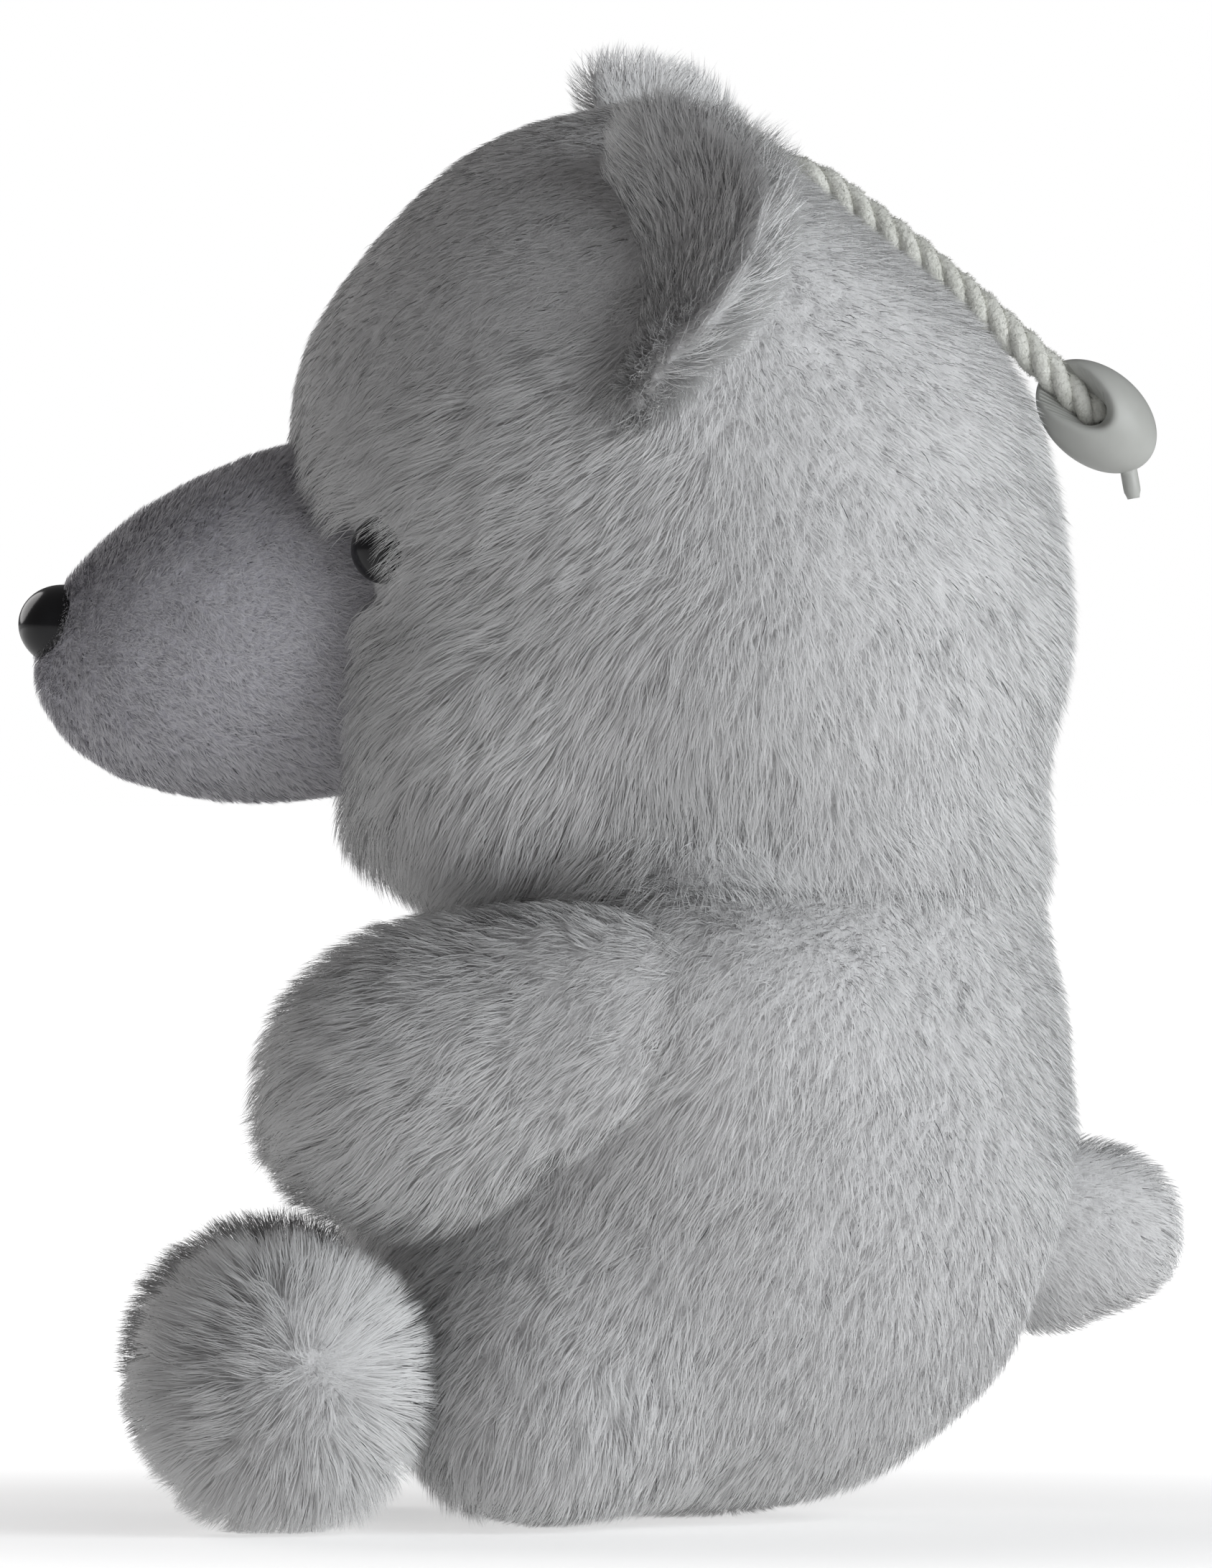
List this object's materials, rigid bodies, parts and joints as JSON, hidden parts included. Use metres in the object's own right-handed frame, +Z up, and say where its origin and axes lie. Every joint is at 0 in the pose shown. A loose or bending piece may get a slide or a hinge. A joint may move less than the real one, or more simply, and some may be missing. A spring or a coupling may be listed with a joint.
{
  "type": "plush bear cub",
  "caption": "Soft plush bear cub sitting upright, with a jointed-by-cloth head, limbs, ears and tail, and a twisted hanging cord ending in an egg-shaped bead.",
  "frame": {"origin": "on the seat plane, under the middle of the body", "axes": "+Z up, the cub faces -Y, and its left side is +X"},
  "size_m": [0.1179, 0.1648, 0.2041],
  "materials": {
    "long_plush": "long soft pile, off-white",
    "short_plush": "short dense pile, cool off-white",
    "fibre_fill": "loose polyester fibre",
    "pellet_bag": "woven bag of pellets",
    "thread": "twisted sewing thread",
    "black_gloss": "polished",
    "washer": "moulded, matt",
    "cord": "soft three-strand twist",
    "bead": "smooth, satin"
  },
  "bodies": {
    "torso": {"seat_panel": "long_plush", "belly_panel": "long_plush", "back_panel_left": "long_plush", "back_panel_right": "long_plush", "torso_stuffing": "fibre_fill", "pellet_bag": "pellet_bag"},
    "neck": {"neck_stuffing": "fibre_fill", "neck_thread": "thread"},
    "head": {"forehead_gusset": "long_plush", "head_side_left": "long_plush", "head_side_right": "long_plush", "head_stuffing": "fibre_fill", "snout_cover": "short_plush", "snout_stuffing": "fibre_fill", "eye_left": "black_gloss", "eye_right": "black_gloss", "eye_washer_left": "washer", "eye_washer_right": "washer", "nose": "black_gloss", "nose_washer": "washer", "cord_knot": "cord"},
    "ear_left": {"ear_front_left": "long_plush", "ear_back_left": "long_plush"},
    "ear_right": {"ear_front_right": "long_plush", "ear_back_right": "long_plush"},
    "arm_left": {"arm_outer_left": "long_plush", "arm_inner_left": "long_plush", "arm_stuffing_left": "fibre_fill"},
    "arm_right": {"arm_outer_right": "long_plush", "arm_inner_right": "long_plush", "arm_stuffing_right": "fibre_fill"},
    "leg_left": {"foot_cover_left": "long_plush", "foot_sole_left": "long_plush", "foot_stuffing_left": "fibre_fill"},
    "leg_right": {"foot_cover_right": "long_plush", "foot_sole_right": "long_plush", "foot_stuffing_right": "fibre_fill"},
    "tail": {"tail_upper": "long_plush", "tail_lower": "long_plush", "tail_stuffing": "fibre_fill"},
    "cord": {"cord": "cord", "cord_end_knot": "cord"},
    "bead": {"bead": "bead", "bead_plug": "bead"}
  },
  "joints": [
    {"name": "head_turn", "type": "hinge", "parent": "torso", "child": "neck", "pos_m": [0, 0, 0.0864], "axis": [0, 0, 1], "range_deg": [-30, 30], "stiffness_Nm_per_rad": 0.1},
    {"name": "head_nod", "type": "hinge", "parent": "neck", "child": "head", "pos_m": [0, 0, 0.089], "axis": [1, 0, 0], "range_deg": [-12, 12], "stiffness_Nm_per_rad": 0.4},
    {"name": "ear_left_fold", "type": "hinge", "parent": "head", "child": "ear_left", "pos_m": [0.03993, -0.014, 0.17609], "axis": [0.6018, 0, -0.7986], "range_deg": [-10, 18], "stiffness_Nm_per_rad": 0.01},
    {"name": "ear_right_fold", "type": "hinge", "parent": "head", "child": "ear_right", "pos_m": [-0.0341, -0.014, 0.18257], "axis": [0.7314, 0, 0.682], "range_deg": [-10, 18], "stiffness_Nm_per_rad": 0.01},
    {"name": "arm_left_lift", "type": "hinge", "parent": "torso", "child": "arm_left", "pos_m": [0.0461, 0.0042, 0.0745], "axis": [-0.6606, 0, 0.7507], "range_deg": [0, 40], "stiffness_Nm_per_rad": 0.02},
    {"name": "arm_right_lift", "type": "hinge", "parent": "torso", "child": "arm_right", "pos_m": [-0.0461, 0.0042, 0.0745], "axis": [-0.6606, 0, -0.7507], "range_deg": [0, 40], "stiffness_Nm_per_rad": 0.02},
    {"name": "leg_left_splay", "type": "hinge", "parent": "torso", "child": "leg_left", "pos_m": [0.037, -0.0425, 0.0205], "axis": [0, 0, 1], "range_deg": [-8, 22], "stiffness_Nm_per_rad": 0.02},
    {"name": "leg_right_splay", "type": "hinge", "parent": "torso", "child": "leg_right", "pos_m": [-0.037, -0.0425, 0.0205], "axis": [0, 0, -1], "range_deg": [-8, 22], "stiffness_Nm_per_rad": 0.02},
    {"name": "tail_wag", "type": "hinge", "parent": "torso", "child": "tail", "pos_m": [0, 0.0565, 0.0425], "axis": [0, 0, 1], "range_deg": [-15, 15], "stiffness_Nm_per_rad": 0.005},
    {"name": "cord_lift", "type": "hinge", "parent": "head", "child": "cord", "pos_m": [0, 0.01129, 0.18921], "axis": [1, 0, 0], "range_deg": [0, 95]},
    {"name": "bead_spin", "type": "hinge", "parent": "cord", "child": "bead", "pos_m": [0, 0.05342, 0.15386], "axis": [0, 0.766, -0.6428], "continuous": true}
  ]
}
